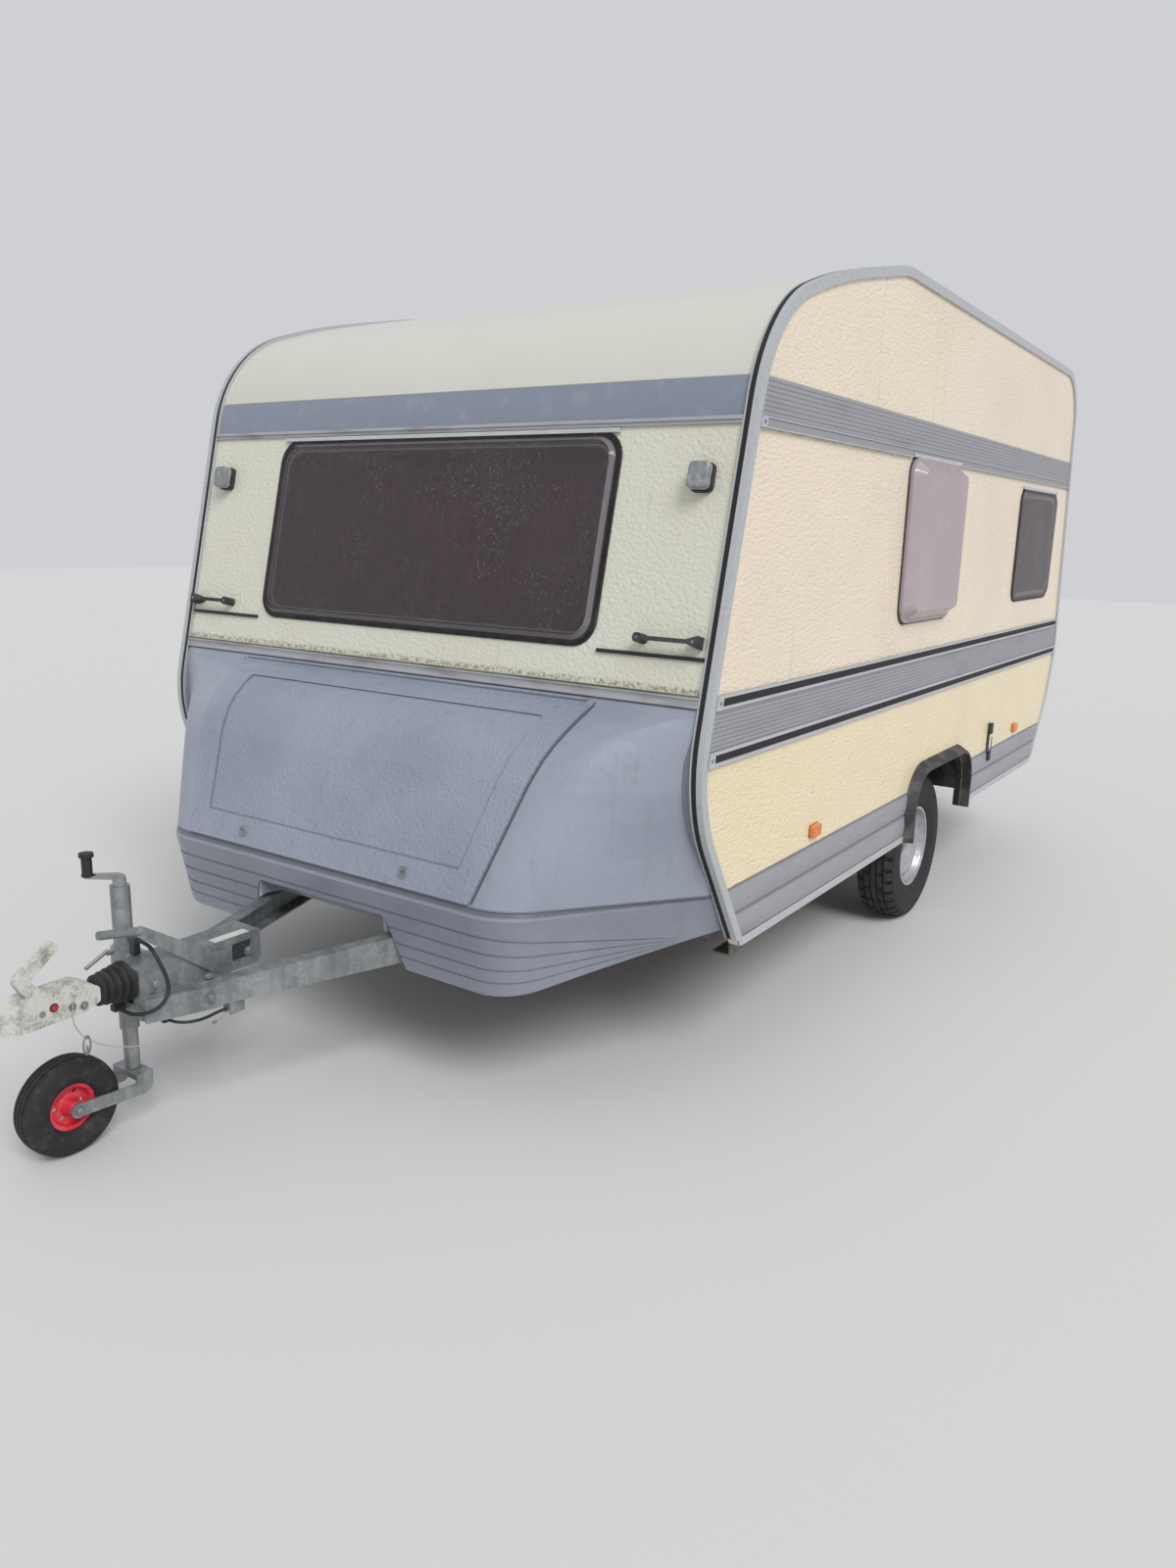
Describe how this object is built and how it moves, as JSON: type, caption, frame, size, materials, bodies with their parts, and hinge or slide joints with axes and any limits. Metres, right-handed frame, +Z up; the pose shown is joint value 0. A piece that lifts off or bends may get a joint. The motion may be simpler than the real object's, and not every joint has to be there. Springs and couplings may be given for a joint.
{
  "type": "travel caravan",
  "caption": "Single-axle travel caravan with a sloping front, a nose locker, an A-frame drawbar, a ball coupling, a jockey wheel and corner steadies.",
  "frame": {"origin": "on the ground under the middle of the whole length and width", "axes": "+Z up, -Y forward along the drawbar, +X to the caravan's left side"},
  "size_m": [2.26, 5.39, 2.5031],
  "materials": {
    "cream_skin": "hammered aluminium, gloss cream paint",
    "floor_board": "sealed plywood",
    "grey_moulding": "grey-painted glass fibre, satin",
    "rail_aluminium": "mill finish, dulled",
    "ribbed_band": "ribbed, grey anodised",
    "window_acrylic": "tinted acrylic",
    "bubble_acrylic": "tinted acrylic, weathered",
    "window_rubber": "matt",
    "curtain_cloth": "pleated, dark red",
    "black_plastic": "matt",
    "galvanised": "hot-dip galvanised, weathered",
    "coupling_steel": "galvanised and worn",
    "tyre_rubber": "worn",
    "wheel_silver": "silver paint",
    "red_plastic": "moulded",
    "grey_lens": "clear lens over a reflector",
    "amber_lens": "moulded",
    "red_lens": "moulded",
    "white_plastic": "moulded",
    "cable_black": "sheathed",
    "cable_pale": "steel cable in a clear sheath"
  },
  "bodies": {
    "root": {"side_wall_left": "cream_skin", "side_wall_right": "cream_skin", "front_wall": "cream_skin", "rear_wall": "cream_skin", "roof_panel": "cream_skin", "floor_panel": "floor_board", "nose_moulding": "grey_moulding", "nose_skirt": "grey_moulding", "edge_rail_left": "rail_aluminium", "edge_rail_right": "rail_aluminium", "bands_left": "ribbed_band", "bands_right": "ribbed_band", "front_trims": "rail_aluminium", "window_front": "window_acrylic", "window_rear": "window_acrylic", "window_rear_left": "window_acrylic", "windows_bubble": "bubble_acrylic", "window_frames": "window_rubber", "curtains": "curtain_cloth", "wheel_boxes": "black_plastic", "arch_trims": "window_rubber", "side_member_left": "galvanised", "side_member_right": "galvanised", "drawbar_left": "galvanised", "drawbar_right": "galvanised", "cross_members": "galvanised", "axle_tube": "galvanised", "swing_arms": "galvanised", "overrun_housing": "galvanised", "coupling_head": "coupling_steel", "bellows": "window_rubber", "handbrake_lever": "galvanised", "electric_cable": "cable_black", "brake_lead": "cable_black", "breakaway_cable": "cable_pale", "cable_clips": "black_plastic", "jockey_clamp": "galvanised", "jockey_outer_tube": "galvanised", "jockey_crank": "galvanised", "position_lamps": "grey_lens", "side_markers": "amber_lens", "rear_lamps": "red_lens", "grab_handles": "black_plastic", "roof_fittings": "white_plastic"},
    "wheel_left": {"tyre_left": "tyre_rubber", "rim_left": "wheel_silver"},
    "wheel_right": {"tyre_right": "tyre_rubber", "rim_right": "wheel_silver"},
    "door": {"door_panel": "cream_skin", "door_window": "window_acrylic"},
    "locker_lid": {"locker_lid": "grey_moulding"},
    "steady_front_left": {"steady_front_left": "galvanised"},
    "steady_front_right": {"steady_front_right": "galvanised"},
    "steady_rear_left": {"steady_rear_left": "galvanised"},
    "steady_rear_right": {"steady_rear_right": "galvanised"},
    "jockey_tube": {"jockey_inner_tube": "galvanised"},
    "jockey_fork": {"jockey_fork": "galvanised"},
    "jockey_wheel": {"jockey_tyre": "tyre_rubber", "jockey_rim": "red_plastic"},
    "roof_hatch": {"roof_light_lid": "white_plastic"}
  },
  "joints": [
    {"name": "wheel_left_spin", "type": "hinge", "parent": "root", "child": "wheel_left", "pos_m": [0.94, 0.70797, 0.31], "axis": [1, 0, 0], "continuous": true},
    {"name": "wheel_right_spin", "type": "hinge", "parent": "root", "child": "wheel_right", "pos_m": [-0.94, 0.70797, 0.31], "axis": [1, 0, 0], "continuous": true},
    {"name": "door_hinge", "type": "hinge", "parent": "root", "child": "door", "pos_m": [-1.09, 1.25197, 1.37], "axis": [0, 0, 1], "range_deg": [0, 150]},
    {"name": "locker_lid_hinge", "type": "hinge", "parent": "root", "child": "locker_lid", "pos_m": [0, -1.37753, 1.1455], "axis": [-1, 0, 0], "range_deg": [0, 70]},
    {"name": "roof_hatch_hinge", "type": "hinge", "parent": "root", "child": "roof_hatch", "pos_m": [0, 0.68697, 2.46107], "axis": [1, 0, 0], "range_deg": [0, 50]},
    {"name": "jockey_slide", "type": "slide", "parent": "root", "child": "jockey_tube", "axis": [0, 0, 1], "range_m": [-0.1, 0.08]},
    {"name": "jockey_swivel", "type": "hinge", "parent": "jockey_tube", "child": "jockey_fork", "pos_m": [-0.126, -2.29103, 0.15], "axis": [0, 0, 1], "continuous": true},
    {"name": "jockey_wheel_spin", "type": "hinge", "parent": "jockey_fork", "child": "jockey_wheel", "pos_m": [-0.126, -2.48003, 0.13], "axis": [1, 0, 0], "continuous": true},
    {"name": "steady_front_left_hinge", "type": "hinge", "parent": "root", "child": "steady_front_left", "pos_m": [0.9, -0.56503, 0.4327], "axis": [1, 0, 0], "range_deg": [0, 55]},
    {"name": "steady_front_right_hinge", "type": "hinge", "parent": "root", "child": "steady_front_right", "pos_m": [-0.9, -0.56503, 0.4327], "axis": [1, 0, 0], "range_deg": [0, 55]},
    {"name": "steady_rear_left_hinge", "type": "hinge", "parent": "root", "child": "steady_rear_left", "pos_m": [0.9, 1.84497, 0.4327], "axis": [-1, 0, 0], "range_deg": [0, 55]},
    {"name": "steady_rear_right_hinge", "type": "hinge", "parent": "root", "child": "steady_rear_right", "pos_m": [-0.9, 1.84497, 0.4327], "axis": [-1, 0, 0], "range_deg": [0, 55]}
  ]
}
